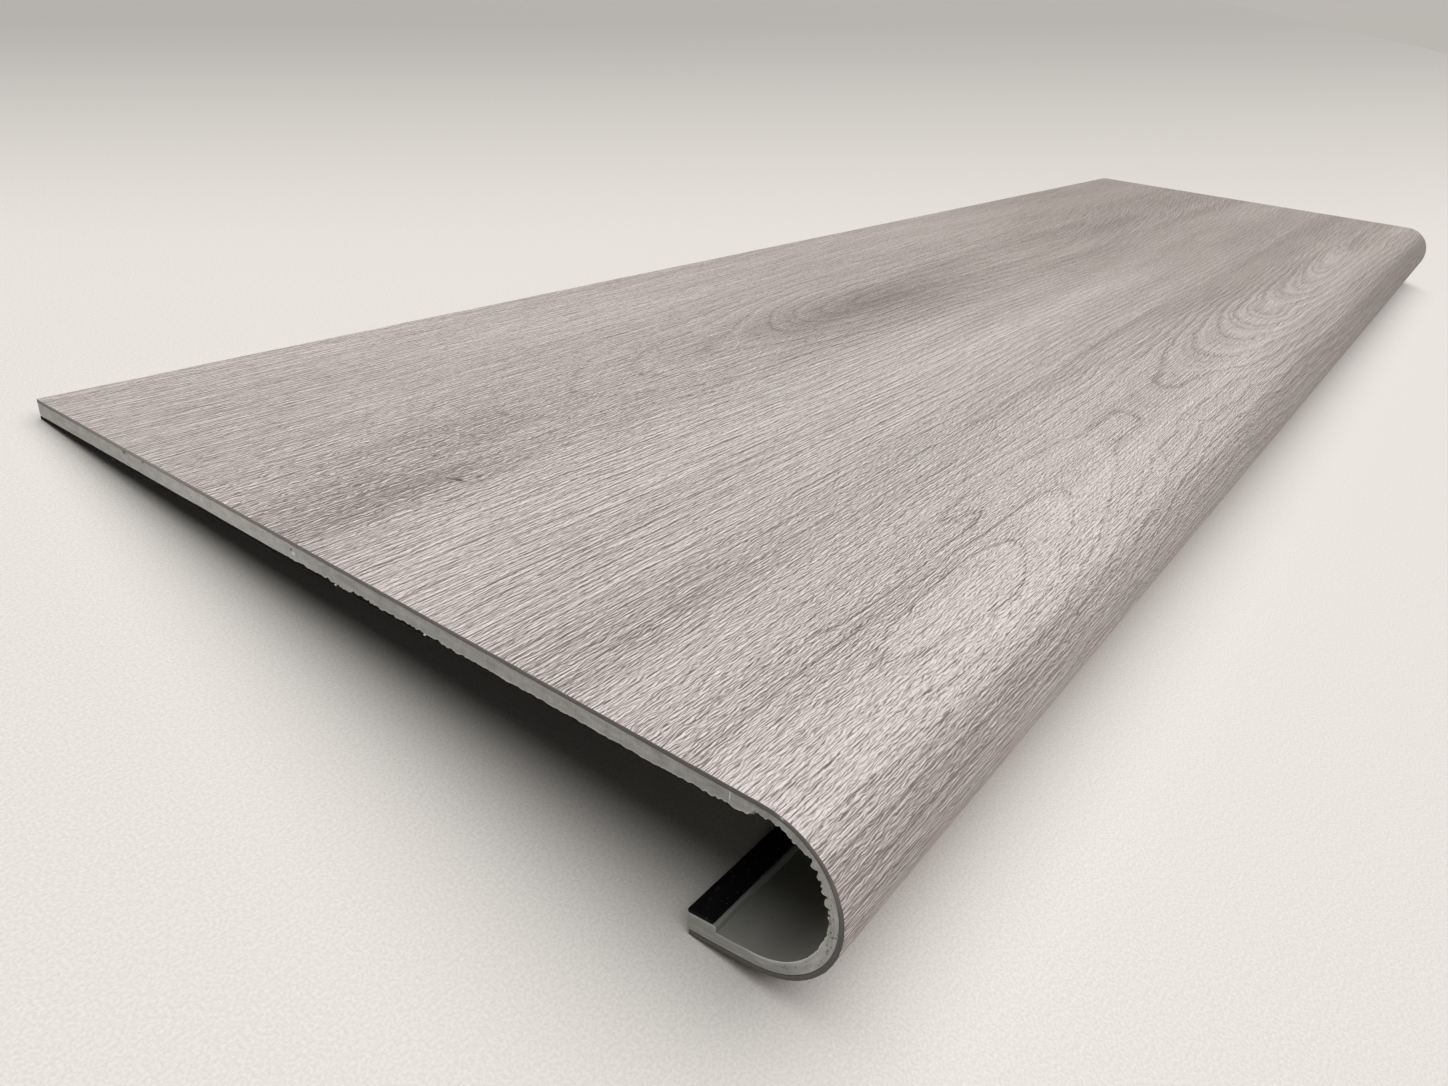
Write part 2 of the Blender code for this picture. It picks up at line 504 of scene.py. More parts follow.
def laid_piece(name, shape, place, laid, finishes, node, sharp):
    """Turns a flat block into the finished piece: shaped, folded, laid at rest and dressed.

    place takes the block's own coordinates and gives the flat laminate's x, s and d, and whatever
    else the materials read. Edges that turn by more than sharp degrees stay sharp.
    """
    mesh = bpy.data.meshes.new(name)
    shape.to_mesh(mesh)
    shape.free()
    x, s, d, extra = place(*vertex_array(mesh))
    store(mesh, "flat", (x, s, d))
    for title, columns in extra.items():
        store(mesh, title, columns)
    y, z = fold(s, d)
    turn = np.array(laid.to_3x3())
    move = np.array(laid.translation)
    places = np.stack((x, y, z), 1) @ turn.T + move
    mesh.vertices.foreach_set("co", places.astype(np.float32).ravel())
    mended = bmesh.new()
    mended.from_mesh(mesh)
    bmesh.ops.recalc_face_normals(mended, faces=mended.faces)
    mended.to_mesh(mesh)
    mended.free()
    piece = dressed_piece(name, mesh, finishes, node)
    mesh.set_sharp_from_angle(angle=math.radians(sharp))
    return piece


def find_socket(sockets, key):
    """A node's socket by its place among them, its identifier or its name."""
    if isinstance(key, int):
        return sockets[key]
    by_identifier = {socket.identifier: socket for socket in sockets}
    return by_identifier[key] if key in by_identifier else sockets[key]


class Signal:
    """A number or colour inside a shader, so that shader maths reads as Python expressions."""

    def __init__(self, nodes, socket):
        self.nodes = nodes
        self.socket = socket

    def __add__(self, other):
        return self.nodes.maths("ADD", self, other)

    __radd__ = __add__

    def __sub__(self, other):
        return self.nodes.maths("SUBTRACT", self, other)

    def __rsub__(self, other):
        return self.nodes.maths("SUBTRACT", other, self)

    def __mul__(self, other):
        return self.nodes.maths("MULTIPLY", self, other)

    def __truediv__(self, other):
        return self.nodes.maths("DIVIDE", self, other)


class Nodes:
    """The nodes of a material or of the world."""

    def __init__(self, tree):
        self.tree = tree

    def node(self, kind, inputs=None, output=0, stops=None, **settings):
        """Adds a node, gives it its settings and then its inputs, and returns one output."""
        made = self.tree.nodes.new(kind)
        for setting, value in settings.items():
            setattr(made, setting, value)
        if stops:
            ramp = made.color_ramp
            while len(ramp.elements) < len(stops):
                ramp.elements.new(1.0)
            for element, (position, colour) in zip(ramp.elements, stops):
                element.position = position
                element.color = rgb(*colour)
        for key, value in (inputs or {}).items():
            self.fill(find_socket(made.inputs, key), value)
        return Signal(self, find_socket(made.outputs, output))

    def outputs(self, kind, inputs=None):
        """Adds a node and returns all its outputs by name."""
        made = self.node(kind, inputs).socket.node
        return {socket.name: Signal(self, socket) for socket in made.outputs}

    def fill(self, socket, value):
        if isinstance(value, Signal):
            self.tree.links.new(value.socket, socket)
        else:
            socket.default_value = value

    def maths(self, operation, *values, clamp=False):
        inputs = dict(enumerate(values))
        return self.node("ShaderNodeMath", inputs, operation=operation, use_clamp=clamp)


class Finish(Nodes):
    """A material and the nodes that make it."""

    def __init__(self, name, roughness):
        self.material = bpy.data.materials.new(name)
        self.material.use_nodes = True
        super().__init__(self.material.node_tree)
        self.surface = self.tree.nodes["Principled BSDF"]
        self.surface.inputs["Roughness"].default_value = roughness

    def attribute(self, name):
        return self.node("ShaderNodeAttribute", output="Vector", attribute_name=name)

    def parts(self, vector):
        """The three numbers of a vector."""
        return list(self.outputs("ShaderNodeSeparateXYZ", {0: vector}).values())

    def shifted(self, place, off):
        """A place moved across the tread by a distance that varies."""
        move = self.node("ShaderNodeCombineXYZ", {1: off})
        return self.node("ShaderNodeVectorMath", {0: place, 1: move}, operation="ADD")

    def scaled(self, place, periods):
        """A place in metres, in units of a length in millimetres for each way."""
        scale = tuple(1.0 / (period * MM) for period in periods)
        return self.node("ShaderNodeVectorMath", {0: place, 1: scale}, operation="MULTIPLY")

    def noise(self, place, periods, detail=2.0, roughness=0.5):
        """Noise over a place in metres, with its grain's length each way in millimetres."""
        inputs = {"Vector": self.scaled(place, periods), "Scale": 1.0}
        inputs |= {"Detail": detail, "Roughness": roughness}
        return self.node("ShaderNodeTexNoise", inputs)

    def grain(self, place, along, across, detail=1.0, roughness=0.5):
        """Noise on the face, with its length along and across the tread in millimetres."""
        return self.noise(place, (along, across, GRAIN_THROUGH), detail, roughness)

    def grain_slope(self, place, step, *lengths, **settings):
        """Grain on the face, and how much it rises over a small step across the tread."""
        here = self.grain(place, *lengths, **settings)
        return here, here - self.grain(self.shifted(place, step), *lengths, **settings)

    def cells(self, place, periods):
        """Distance to the nearest of many scattered points, in units of their spacing."""
        inputs = {"Vector": self.scaled(place, periods), "Scale": 1.0}
        return self.node("ShaderNodeTexVoronoi", inputs)

    def between(self, value, low, high, start=0.0, end=1.0):
        """A smooth step of the value from start at low to end at high."""
        inputs = {"Value": value, "From Min": low, "From Max": high, "To Min": start, "To Max": end}
        return self.node("ShaderNodeMapRange", inputs, interpolation_type="SMOOTHSTEP")

    def ramp(self, value, stops):
        """A colour that follows the value through a few stops."""
        return self.node("ShaderNodeValToRGB", {"Fac": value}, stops=stops)

    def blend(self, share, first, second):
        """A colour that goes from the first to the second."""
        inputs = {"Factor_Float": share, "A_Color": first, "B_Color": second}
        return self.node("ShaderNodeMix", inputs, output="Result_Color", data_type="RGBA")

    def layered(self, shade, layers):
        """A colour with others laid over it in turn, each by its share."""
        for share, laid_over in layers:
            shade = self.blend(share, shade, laid_over)
        return shade

    def spot(self, first, second, centre, size):
        """A soft oval patch over two places, 1 at its centre; centre and size are in millimetres."""
        off_first = (first - centre[0] * MM) / (size[0] * MM)
        off_second = (second - centre[1] * MM) / (size[1] * MM)
        return self.maths("EXPONENT", (off_first * off_first + off_second * off_second) * -1.0)

    def spots(self, first, second, marks):
        """Soft oval patches added up, each with its weight, centre and size."""
        return sum(self.spot(first, second, *where) * weight for weight, *where in marks)

    def ring_line(self, ring, closeness, width):
        """Lines where the ring count passes a whole number, as wide in millimetres everywhere."""
        off = self.maths("ABSOLUTE", self.maths("FRACT", ring) - 0.5)
        return 1 - self.between((0.5 - off) / closeness, width * 0.4, width * 1.6)

    def colour(self, value):
        self.fill(self.surface.inputs["Base Color"], value)

    def roughness(self, value):
        self.fill(self.surface.inputs["Roughness"], value)

    def specular(self, value):
        self.fill(self.surface.inputs["Specular IOR Level"], value)

    def bump(self, height, distance, strength=1.0):
        inputs = {"Height": height, "Distance": distance, "Strength": strength}
        self.fill(self.surface.inputs["Normal"], self.node("ShaderNodeBump", inputs))


def rgb(red, green, blue):
    """A solid colour."""
    return (red, green, blue, 1.0)


def oak_print_finish():
    """The printed face: oak rings, pores and figure, pressed in register with the print, with
    painted highlight and shade beside its flecks and ridges and on its nose.
    """
    finish = Finish("grey_oak_print", 0.5)
    x, s, _ = finish.parts(finish.attribute("flat"))
    rings, closeness, tone = finish.parts(finish.attribute("figure"))
    strength, curl, fleck = finish.parts(finish.attribute("grain"))
    reach = x - NEAR_END
    far = finish.between(reach, 0.12, 0.75)

    # The fibres follow the grain, wave a little and curl about the knot
    fan = finish.attribute("fan")
    wave = finish.grain(fan, 26, 7) - 0.5
    hair = finish.grain(fan, 8.5, 4.5) - 0.5
    fibre = finish.shifted(fan, wave * (curl * (3.0 * MM) + 1.6 * MM) + hair * curl * (3.2 * MM))
    crinkle = finish.grain(fan, 6.0, 2.2) - 0.5
    pressed = finish.shifted(fan, crinkle * (curl * (1.6 * MM) + 1.4 * MM))

    # Ring lines of an even width, with finer and weaker ones between them
    ragged = finish.grain(fibre, 30, 2.2, detail=2.0) - 0.5
    streaky = finish.grain(fibre, 34, 0.85, detail=2.0) - 0.5
    streaked = streaky * finish.between(closeness, 0.05, 0.22, 0.42, 0.12)
    ring = rings + ragged * (closeness * 1.5) + streaked
    broken = finish.between(finish.grain(fibre, 40, 1.3, detail=3.0), 0.34, 0.56, 0.2, 1.0)
    width = far * 0.75 + 0.34
    ring_line = finish.ring_line(ring, closeness, width) * broken
    fine_line = finish.ring_line(ring * 2.7, closeness * 2.7, width * 0.7) * (1.15 - broken)
    bright_line = finish.ring_line(ring + 0.22, closeness, width) * (1 - far)
    half_line = finish.ring_line(ring * 2 + 0.3, closeness * 2, width * 0.8) * far
    fading = 0.5 - finish.maths("FRACT", ring)
    lines = ring_line * (1 - far * 0.2) + half_line * 0.5 + fine_line * 0.5 - bright_line * 0.4
    lines = lines + fading * (far * 0.2 + 0.10)
    lines = lines * strength * (0.95 - far * 0.45)

    # Fibres and pores, and cracks on the nose; flecks and ridges get a painted highlight on one side
    # and painted shade on the other
    fibres = finish.grain(fibre, 38, 0.62, detail=3.0, roughness=0.62)
    streaks = finish.grain(fibre, 150, 5.5, detail=3.0, roughness=0.6)
    pores = finish.between(finish.grain(pressed, 5.0, 0.55), 0.61, 0.68)
    flecks, fleck_slope = finish.grain_slope(pressed, 0.22 * MM, 3.4, 0.52)
    fleck_painted_light = finish.between(fleck_slope, -0.10, 0.10, -1.0, 1.0)
    ridges, ridge_slope = finish.grain_slope(fibre, 0.34 * MM, 42, 0.9, detail=2.0, roughness=0.55)
    ridge_painted_light = finish.between(ridge_slope, -0.11, 0.11, -1.0, 1.0)
    cracked = finish.between(s, 0.322, 0.342) * (1 - far * 0.6)
    cracks = finish.between(finish.grain(pressed, 9.0, 0.9), 0.59, 0.66) * cracked

    # The one small knot: a slanting dark slit in a faint halo, and two short marks beyond it
    slant = s - (reach - 62.7 * MM) * 1.95
    marks = [
        (1.1, (63.5, 156.6), (0.9, 1.5)),
        (0.8, (70.5, 158.9), (1.1, 1.0)),
        (0.35, (73.3, 161.3), (0.8, 0.8)),
    ]
    knot = finish.spot(reach, slant, (62.9, 155.4), (1.8, 1.0)) * 0.9
    knot = knot + finish.spots(reach, s, marks)
    halo = finish.spot(reach, s, (60.0, 152.5), (12.0, 6.0))

    # Fibres and streaks are print; the flecks and ridges add their painted highlight and painted
    # shade
    grain = (fibres - 0.5) * 0.55 + (streaks - 0.5) * 0.18
    grain = grain + fleck_painted_light * (fleck * 0.25 + 0.13) + ridge_painted_light * (0.27 - fleck * 0.16)
    near = (1 - finish.between(reach, 0.22, 0.33)) * (1 - finish.between(s, 0.245, 0.285))
    light = (
        0.615
        + tone * 2.6
        + grain * (1.12 + near * 0.46 - far * 0.42 + finish.between(s, 0.318, 0.35, 0.0, 0.2))
        - lines * 0.34
        - cracks * 0.22
        - pores * 0.30
        - halo * 0.05
        - knot * 0.75
    )
    stops = [
        (0.0, (0.175, 0.146, 0.134)),
        (0.33, (0.374, 0.320, 0.297)),
        (0.62, (0.545, 0.483, 0.465)),
        (1.0, (0.83, 0.768, 0.758)),
    ]
    slit = finish.between(knot, 0.45, 1.3, 0.0, 0.75)
    finish.colour(finish.blend(slit, finish.ramp(light, stops), rgb(0.045, 0.036, 0.033)))

    # The embossing follows the print: long ridges, short flecks, ring lines and pores
    height = ridges * 1.2 + flecks * 1.3 - lines * (0.2 - far * 0.14) - pores * 0.4 - knot * 0.8
    finish.bump(height, 0.36 * MM)
    finish.roughness(finish.between(ridges, 0.35, 0.65, 0.56, 0.46))
    return finish.material


def vinyl_edge_finish():
    """The sawn edge of the face: clear wear layer, print film and grey base, from the top down."""
    finish = Finish("sawn_vinyl_edge", 0.6)
    flat = finish.attribute("flat")
    x, s, d = finish.parts(flat)
    smear = finish.noise(flat, (3, 7, 0.5), detail=3.0, roughness=0.6) - 0.5
    level = d + smear * (0.30 * MM)
    patchy = finish.noise(flat, (1.5, 2.4, 0.7), detail=3.0)
    base = finish.blend(patchy, rgb(0.078, 0.075, 0.068), rgb(0.125, 0.12, 0.11))
    folded = finish.between(s, 0.345, 0.368)
    top = finish.blend(folded, rgb(0.19, 0.158, 0.140), rgb(0.075, 0.072, 0.066))
    film = finish.between(level, 0.30 * MM, 0.40 * MM)
    film = film * (1 - finish.between(level, 0.46 * MM, 0.58 * MM))
    # The edge is paler around 75 mm from the back edge, and darker from 220 to 310 mm towards the
    # nose
    paler_stretch = finish.spot(s, x, (75.0, NEAR_END / MM), (65.0, 9.0))
    burr = finish.spot(s, d, (331.4, 0.1), (0.4, 0.35))
    layers = [
        (1 - finish.between(level, 0.28 * MM, 0.42 * MM), top),
        (film * 0.55, rgb(0.05, 0.043, 0.038)),
        (paler_stretch * 0.45, rgb(0.36, 0.34, 0.31)),
        (finish.between(s, 0.22, 0.31) * 0.42, rgb(0.03, 0.028, 0.025)),
        (finish.between(level, 1.12 * MM, 1.38 * MM) * 0.92, rgb(0.022, 0.021, 0.019)),
        (finish.between(s, 0.352, 0.366) * 0.35, rgb(0.03, 0.028, 0.026)),
        (burr * 0.8, rgb(0.45, 0.43, 0.40)),
    ]
    finish.colour(finish.layered(base, layers))
    finish.bump(finish.noise(flat, (0.5, 0.45, 0.9), detail=3.0), 0.06 * MM)
    return finish.material


def core_finish():
    """The mineral core: mottled where it is sawn, smooth where it is routed and folded."""
    finish = Finish("sawn_mineral_core", 0.72)
    flat = finish.attribute("flat")
    _, s, d = finish.parts(flat)
    rim, cut, _ = finish.parts(finish.attribute("core"))

    mottle = finish.noise(flat, (6, 5, 2.2), detail=4.0, roughness=0.6)
    speckle = finish.noise(flat, (0.5, 0.5, 0.45), detail=3.0, roughness=0.7)
    strokes = finish.noise(flat, (4, 0.55, 5.0), detail=2.0)
    folded = finish.between(s, 0.335, 0.372)
    bands = finish.noise(flat, (30, 16, 0.32), detail=2.0)
    shade = 0.5 + (mottle - 0.5) * 0.85 + (speckle - 0.5) * 0.55
    shade = shade + (strokes - 0.5) * 0.35 * (1 - folded) + (bands - 0.5) * 0.9 * folded

    # Along the cut the sawn end turns paler or darker: where each change starts and ends, how much
    changes = [
        (0.04, 0.11, 0.16),
        (0.13, 0.19, -0.34),
        (0.285, 0.315, -0.12),
        (0.340, 0.350, 0.18),
        (0.375, 0.395, -0.10),
        (0.382, 0.396, -0.16),
    ]
    for start, end, change in changes:
        shade = shade + finish.between(s, start, end) * change
    stops = [(0.1, (0.19, 0.188, 0.176)), (0.5, (0.315, 0.312, 0.294)), (0.95, (0.46, 0.455, 0.43))]
    sawn = finish.ramp(shade, stops)
    grime = finish.noise(flat, (18, 9, 3), detail=4.0)
    grit = finish.between(finish.noise(flat, (1.1, 1.1, 1.1), detail=1.0), 0.72, 0.78)
    # The routed back is the core's grey painted darker, as shade inside the hook, with random
    # blotches
    routed = finish.blend(grime, rgb(0.215, 0.218, 0.20), rgb(0.285, 0.285, 0.262))
    # A pale line painted along the lower rim of the sawn end as a highlight, brightest round the
    # inside of the fold
    rim_painted_highlight = finish.between(s, 0.362, 0.372, 0.45, 0.85) - finish.between(s, 0.396, 0.402, 0.0, 0.5)

    # Marks of this one piece: pores in the fold, a scratch, two pale scuffs and three dark nicks
    pore_field = finish.cells(flat, (1.0, 1.15, 1.0))
    pore_places = [(1.0, (363.5, 2.9), (10.0, 1.3)), (0.7, (385.0, 3.4), (7.0, 0.8))]
    pores = (1 - finish.between(pore_field, 0.18, 0.34)) * finish.spots(s, d, pore_places)
    pale_marks = [
        (0.8, (317.6, 2.9), (0.16, 1.3)),
        (0.85, (157.6, 4.1), (0.9, 0.7)),
        (0.51, (108.7, 3.7), (0.45, 0.9)),
    ]
    pale = finish.maths("MINIMUM", finish.spots(s, d, pale_marks), 1.0)
    nicks = [
        (1.0, (61.6, 2.0), (0.8, 0.55)),
        (1.0, (73.6, 1.8), (0.7, 0.4)),
        (1.0, (156.6, 3.2), (0.5, 0.4)),
    ]
    dark = finish.maths("MULTIPLY", finish.spots(s, d, nicks), cut, clamp=True)
    layers = [
        (grit * 0.5, rgb(0.10, 0.10, 0.095)),
        (cut, sawn),
        (rim * rim_painted_highlight * cut, rgb(0.52, 0.52, 0.48)),
        (pores * cut * 0.9, rgb(0.035, 0.035, 0.032)),
        (pale * cut, rgb(0.62, 0.62, 0.58)),
        (dark, rgb(0.03, 0.03, 0.028)),
    ]
    finish.colour(finish.layered(routed, layers))

    height = speckle * 0.5 + strokes * 0.35 * cut - pores * 1.2 - dark
    finish.bump(height, 0.14 * MM)
    finish.roughness(finish.between(mottle, 0.3, 0.7, 0.78, 0.64))
    return finish.material


def foam_finish():
    """Black closed-cell foam: very fine cells, with dust in places and a few glossy cells that also
    carry a painted highlight.
    """
    finish = Finish("black_foam_cells", 0.85)
    finish.specular(0.06)
    flat = finish.attribute("flat")
    cells = finish.cells(flat, (0.42, 0.42, 0.42))
    dust = finish.between(finish.noise(flat, (14, 5, 3), detail=4.0), 0.45, 0.75)
    glossy_and_painted_glint = finish.between(finish.noise(flat, (0.8, 0.8, 0.8), detail=0.0), 0.74, 0.80)
    shade = finish.blend(dust * 0.5, rgb(0.0055, 0.0053, 0.0058), rgb(0.017, 0.016, 0.016))
    # The glossy cells are painted paler too, as a painted highlight
    finish.colour(finish.blend(glossy_and_painted_glint * 0.55, shade, rgb(0.13, 0.13, 0.13)))
    finish.roughness(finish.between(glossy_and_painted_glint, 0.0, 1.0, 0.85, 0.35))
    finish.bump(cells, 0.12 * MM, 0.8)
    return finish.material


def crumb_finish():
    """A crumb broken off the core, paler than its sawn end."""
    finish = Finish("pale_core_crumb", 0.35)
    place = finish.node("ShaderNodeTexCoord", output="Object")
    speck = finish.noise(place, (0.3, 0.3, 0.3), detail=2.0)
    finish.colour(finish.blend(speck, rgb(0.40, 0.40, 0.37), rgb(0.80, 0.79, 0.74)))
    return finish.material


def make_face(laid):
    """The printed sheet: a fine grid on its face, pressed with the grain, and plain behind."""
    bend_steps = 26
    cuts = 213
    near_share = 0.45
    edge_depth = 0.5 * MM
    outer = [(s, 0.0) for s in spaced(0.0, FACE_LENGTH, 1.06 * MM)]
    bend = np.linspace(BOARD_LENGTH, BOARD_LENGTH + BEND_LENGTH, bend_steps)
    inner = [(s, FACE_THICKNESS) for s in (0.0, *bend, FACE_LENGTH)]

    def place(run, s, d):
        # The cuts lie closer together near the camera
        x = NEAR_END + TREAD_LENGTH * (near_share * run + (1 - near_share) * run * run)
        rings, closeness, tone, strength, curl, fleck = oak_figure(x, s)
        d = np.where(d < FACE_THICKNESS / 2, face_relief(x, s, rings, curl), d)
        rise = grain_rise((x - NEAR_END) / MM, s / MM) * MM
        extra = {
            "figure": (rings, closeness, tone),
            "grain": (strength, curl, fleck),
            "fan": (x, s + rise, d),
        }
        return x, s, d, extra

    shape = outline_block(outer + inner[::-1], cuts)
    finishes = [oak_print_finish(), vinyl_edge_finish()]
    piece = laid_piece(
        "embossed_vinyl_face", shape, place, laid, finishes, "vinyl_face", 38
    )
    mesh = piece.data
    flat = np.empty(len(mesh.vertices) * 3, np.float32)
    mesh.attributes["flat"].data.foreach_get("vector", flat)
    depths = flat.reshape(-1, 3)[:, 2]
    on_edge = [max(depths[index] for index in face.vertices) > edge_depth for face in mesh.polygons]
    mesh.polygons.foreach_set("material_index", np.array(on_edge, np.int32))


def core_stations():
    """Places along the core's section, close together where it is torn and chipped."""
    special = [BOARD_STRIP_END, CHANNEL_START, CHANNEL_END - HAIR, *land_corner()[0]]
    runs = [
        spaced(0.0, 140 * MM, 1.6 * MM),
        spaced(140 * MM, BOARD_STRIP_END, 0.44 * MM),
        spaced(BOARD_STRIP_END, CHANNEL_START, 0.4 * MM),
        spaced(CHANNEL_START, 368 * MM, 0.36 * MM),
        spaced(368 * MM, 388 * MM, 0.62 * MM),
        spaced(388 * MM, CHANNEL_END - HAIR, 1.4 * MM),
        spaced(LIP_STRIP_START, FACE_LENGTH, 1.2 * MM),
    ]
    return np.unique(np.round(np.concatenate([special, *runs]), 8))


def make_core(laid):
    """The rigid core, with its sawn near end chipped along the lower edge."""

    def place(x, s, row):
        back = s / MM
        d = CORE_TOP + row * (torn_underside(x, s) - CORE_TOP)
        at_end = is_on_end(x)
        saw = 0.07 * lattice_noise(back / 0.9, row * 1.5, 42)
        saw += 0.05 * lattice_noise(back / 4, row * 5, 43)
        round_off = 0.16 * np.clip(row - 0.85, 0, 1) / 0.15
        x = x - np.sign(x) * (saw + round_off) * MM * at_end
        # The lowest rows of the core, where its finish paints a highlight line along the sawn end
        rim = smooth_between(0.80, 1.0, row)
        return x, s, d, {"core": (rim, at_end)}

    rows = np.linspace(0.0, 1.0, 7)
    shape = grid_block(core_stations(), rows, end_stops(0.28 * MM, 90 * MM, 1.55))
    laid_piece(
        "sawn_mineral_core", shape, place, laid, [core_finish()], "rigid_core", 34
    )


def make_board_underlay(laid, foam):
    """The foam under the board, sawn clean near the back edge and torn along the rest."""

    def place(x, s, row):
        back = s / MM
        torn = smooth_between(150, 178, back)
        top = torn_underside(x, s) + GLUE_LINE
        fray = 0.55 * line_noise(back, 3.1, 51) + 0.35 * line_noise(back, 0.9, 52)
        lift = torn * (0.25 + fray) * end_share(x, 4 * MM) ** 0.8
        lift += 0.06 * lattice_noise(back / 5, (x - NEAR_END) / (7 * MM), 53)
        d = top + row * (UNDERLAY_BOTTOM - lift * MM - top)
        recess = torn * (0.1 + 0.45 * lattice_noise(back / 1.7, row * 2.5, 54)) + 0.05
        recess += 3.0 * smooth_between(225, 262, back + 14 * line_noise(back, 8, 55))
        x = x + recess * MM * end_share(x, 9 * MM)
        return x, s, d, {}

    clean = spaced(0.0, 140 * MM, 1.8 * MM)
    ragged = spaced(140 * MM, BOARD_STRIP_END, 0.44 * MM)
    stations = np.unique(np.concatenate([clean, ragged]))
    shape = grid_block(stations, np.linspace(0.0, 1.0, 4), end_stops(0.35 * MM, 60 * MM, 1.5))
    laid_piece("foam_under_board", shape, place, laid, [foam], "tread_underlay", 50)


def make_lip_underlay(laid, foam):
    """The strip of foam left on the lip's land."""

    def place(x, s, row):
        back = s / MM
        along = (x - NEAR_END) / MM
        dip = 0.07 * lattice_noise(along / 9, back / 3, 61)
        dip += 0.04 * lattice_noise(along / 2.5, back / 1.4, 62)
        d = UNDERLAY_TOP + row * (UNDERLAY_THICKNESS - dip * MM)
        inwards = (0.05 + 0.10 * lattice_noise(back / 1.1, row * 2, 63)) * MM
        x = x - np.sign(x) * inwards * is_on_end(x)
        return x, s, d, {}

    stations = spaced(LIP_STRIP_START, FACE_LENGTH, 0.75 * MM)
    shape = grid_block(stations, np.linspace(0.0, 1.0, 4), end_stops(0.8 * MM, 9 * MM, 1.35))
    laid_piece("foam_on_lip", shape, place, laid, [foam], "lip_underlay", 50)


def make_crumbs(laid):
    """A few pale crumbs of the core, caught in the torn foam at the near end."""
    inwards = 0.55 * MM
    first_seed = 70

    # Each crumb's place from the back edge, its depth and its radius, in millimetres
    crumbs = [
        (140.6, 6.9, 0.34),
        (176.9, 7.0, 0.42),
        (180.2, 6.9, 0.30),
        (215.8, 6.6, 0.44),
        (247.0, 6.7, 0.2),
    ]
    shape = bmesh.new()
    for index, (back, depth, radius) in enumerate(crumbs):
        made = bmesh.ops.create_icosphere(shape, subdivisions=2, radius=radius * MM)
        draw = np.random.default_rng(first_seed + index)
        for vert in made["verts"]:
            vert.co *= 1 + 0.35 * (draw.random() - 0.5)
        y, z = fold(np.array(back * MM), depth * MM)
        centre = laid @ Vector((NEAR_END + inwards, float(y), float(z)))
        bmesh.ops.translate(shape, verts=made["verts"], vec=centre)
    bmesh.ops.recalc_face_normals(shape, faces=shape.faces)
    mesh = bpy.data.meshes.new("core_crumbs")
    shape.to_mesh(mesh)
    shape.free()
    dressed_piece("core_crumbs", mesh, [crumb_finish()])


def place_camera(laid):
    """Sets the photograph's camera against the tread as it lies, and returns its placement."""
    back = Vector(
        (
            math.cos(CAMERA_ELEVATION) * math.sin(CAMERA_AZIMUTH),
            -math.cos(CAMERA_ELEVATION) * math.cos(CAMERA_AZIMUTH),
            math.sin(CAMERA_ELEVATION),
        )
    )
    level_right = Vector((math.cos(CAMERA_AZIMUTH), math.sin(CAMERA_AZIMUTH), 0.0))
    level_up = back.cross(level_right)
    right = level_right * math.cos(CAMERA_ROLL) + level_up * math.sin(CAMERA_ROLL)
    up = back.cross(right)
    turn = Matrix((right, up, back)).transposed().to_4x4()
    data = bpy.data.cameras.new("camera")
    data.lens = CAMERA_LENS
    data.sensor_width = SENSOR_WIDTH
    data.sensor_fit = "HORIZONTAL"
    data.clip_start = 0.01
    camera = bpy.data.objects.new("camera", data)
    camera.matrix_world = laid @ Matrix.Translation(CAMERA_PLACE) @ turn
    bpy.context.scene.collection.objects.link(camera)
    bpy.context.scene.camera = camera
    return camera.matrix_world.copy()


def soft_sun(name, towards, spread, power):
    """A soft lamp far off; towards is the way from the tread to the lamp, spread is in degrees."""
    data = bpy.data.lights.new(name, "SUN")
    data.energy = power
    data.angle = math.radians(spread)
    data.color = LAMP_COLOUR
    lamp = bpy.data.objects.new(name, data)
    lamp.rotation_euler = (-Vector(towards)).to_track_quat("-Z", "Y").to_euler()
    bpy.context.scene.collection.objects.link(lamp)


def studio_air():
    """Weak light from all round; the camera and reflections see a grey background instead."""
    world = bpy.data.worlds.new("studio_air")
    bpy.context.scene.world = world
    world.use_nodes = True
    sky = Nodes(world.node_tree)
    air = sky.tree.nodes["Background"]
    air.inputs["Color"].default_value = rgb(*AIR_COLOUR)
    air.inputs["Strength"].default_value = AIR_LIGHT
    grey = rgb(*[level * BACKDROP_TOP for level in FLOOR_SEEN])
    seen = sky.node("ShaderNodeBackground", {"Color": grey})
    ray = sky.outputs("ShaderNodeLightPath")
    direct = sky.maths("MAXIMUM", ray["Is Camera Ray"], ray["Is Glossy Ray"])
    direct = sky.maths("MAXIMUM", direct, ray["Is Transmission Ray"])
    mixed = sky.node("ShaderNodeMixShader", {0: direct, 1: Signal(sky, air.outputs[0]), 2: seen})
    sky.fill(sky.tree.nodes["World Output"].inputs["Surface"], mixed)


def floor_turn(camera, hub, row):
    """Where a row of the picture lies on the floor, as a share of a full turn about the hub."""
    slope = (0.5 - row) * SENSOR_WIDTH * PICTURE_RATIO / CAMERA_LENS
    ray = camera.to_3x3() @ Vector((0.0, slope, -1.0))
    seen = camera.translation - ray * (camera.translation.z / ray.z) - hub
    return math.atan2(seen.y, seen.x) / math.tau + 0.5


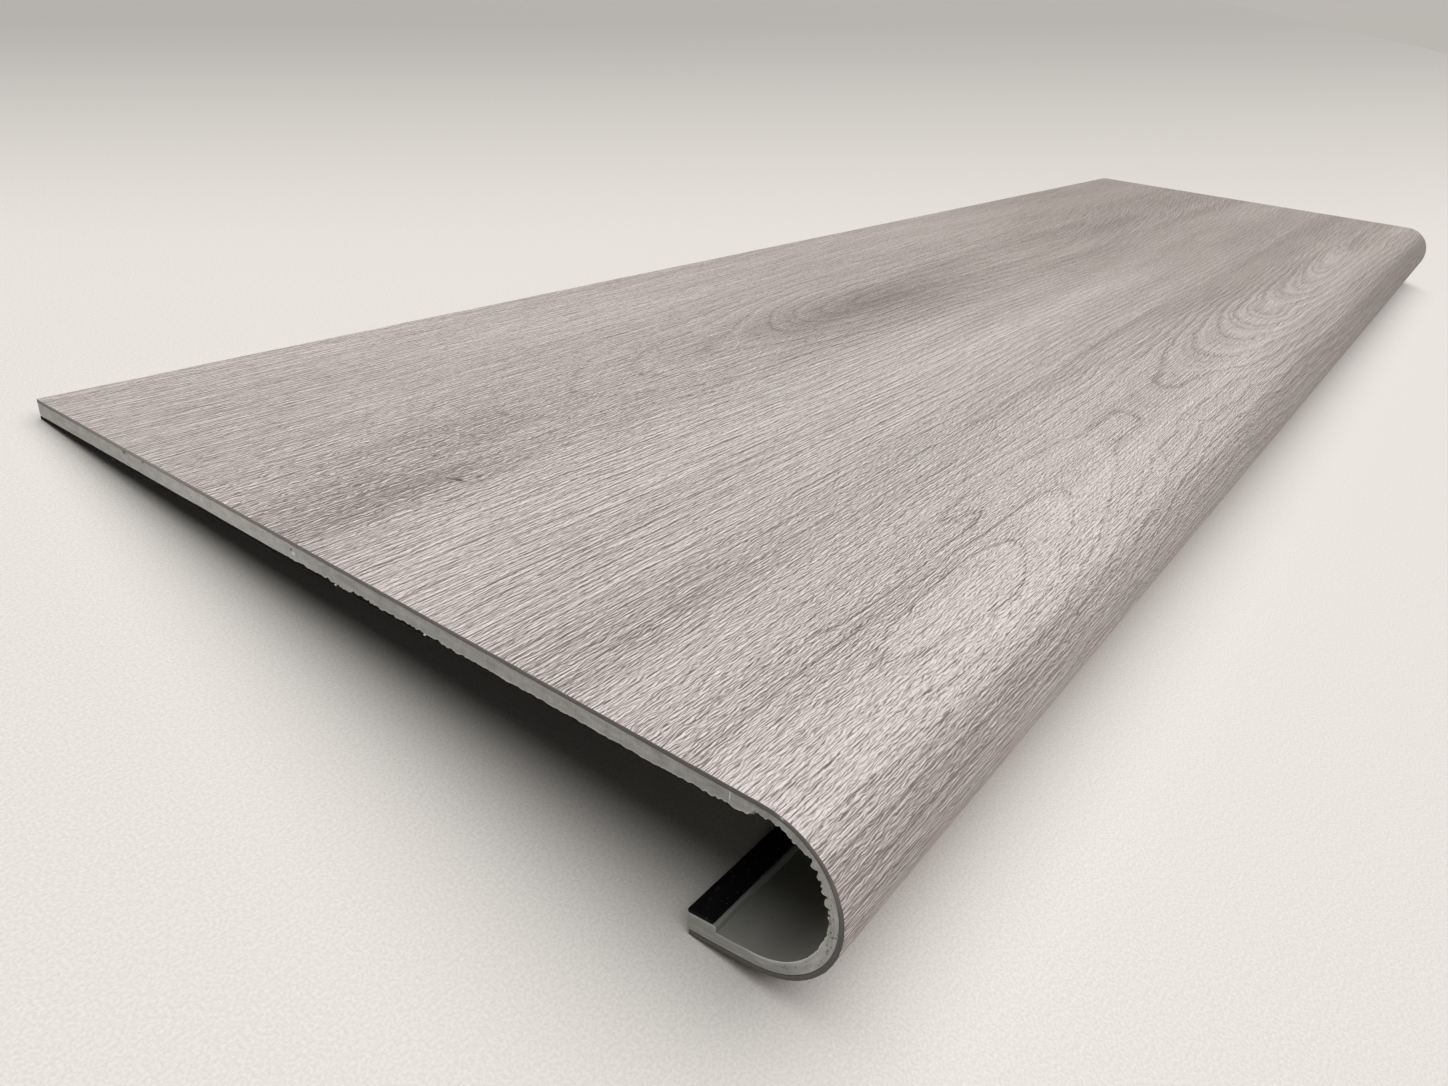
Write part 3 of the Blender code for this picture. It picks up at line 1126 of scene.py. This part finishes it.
def studio_floor(camera):
    """A pale floor with painted shade that darkens it evenly towards the top of the picture.

    A row of the picture is a line on the floor, and all those lines run through one hub: the place
    where a line from the camera along the row's own direction comes down to the floor.
    """
    right = camera.to_3x3() @ Vector((1.0, 0.0, 0.0))
    hub = camera.translation - right * (camera.translation.z / right.z)
    shape = bmesh.new()
    bmesh.ops.create_grid(shape, x_segments=2, y_segments=2, size=FLOOR_REACH)
    mesh = bpy.data.meshes.new("studio_floor")
    shape.to_mesh(mesh)
    shape.free()
    finish = Finish("pale_floor", 0.9)
    finish.specular(0.2)
    place = finish.node("ShaderNodeTexCoord", output="Object")
    turn = finish.node("ShaderNodeTexGradient", {"Vector": place}, "Fac", gradient_type="RADIAL")
    levels = [(floor_turn(camera, hub, row), level) for row, level in BACKDROP_ROWS]
    levels = sorted([*levels, *BACKDROP_RETURN])
    stops = [(turned, tuple(level * part for part in FLOOR_COLOUR)) for turned, level in levels]
    weave = finish.noise(place, (0.8, 0.8, 0.8), detail=2.0, roughness=0.6)
    threads = finish.between(weave, 0.3, 0.7, 0.0, 0.13)
    finish.colour(finish.blend(threads, finish.ramp(turn, stops), rgb(0.0, 0.0, 0.0)))
    mesh.materials.append(finish.material)
    floor = bpy.data.objects.new("studio_floor", mesh)
    floor.location = (hub.x, hub.y, -FLOOR_DROP)
    bpy.context.scene.collection.objects.link(floor)


def studio(camera):
    """A pale floor and backdrop, a broad key lamp and a weak low one at the near end."""
    bpy.context.scene.view_settings.view_transform = "Standard"
    studio_air()
    studio_floor(camera)
    soft_sun("key_lamp", (0.21, -0.06, 1.0), 88, 3.07)
    soft_sun("end_lamp", (-1.0, -0.14, 0.03), 3, 1.0)


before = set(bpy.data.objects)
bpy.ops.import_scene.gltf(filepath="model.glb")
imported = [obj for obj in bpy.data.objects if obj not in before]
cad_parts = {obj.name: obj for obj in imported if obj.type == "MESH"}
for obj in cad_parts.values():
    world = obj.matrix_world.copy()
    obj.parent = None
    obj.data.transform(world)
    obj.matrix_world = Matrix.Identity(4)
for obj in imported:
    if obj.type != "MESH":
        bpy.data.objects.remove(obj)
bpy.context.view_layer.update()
laid = rest_placement()
studio(place_camera(laid))
foam = foam_finish()
make_face(laid)
make_core(laid)
make_board_underlay(laid, foam)
make_lip_underlay(laid, foam)
make_crumbs(laid)
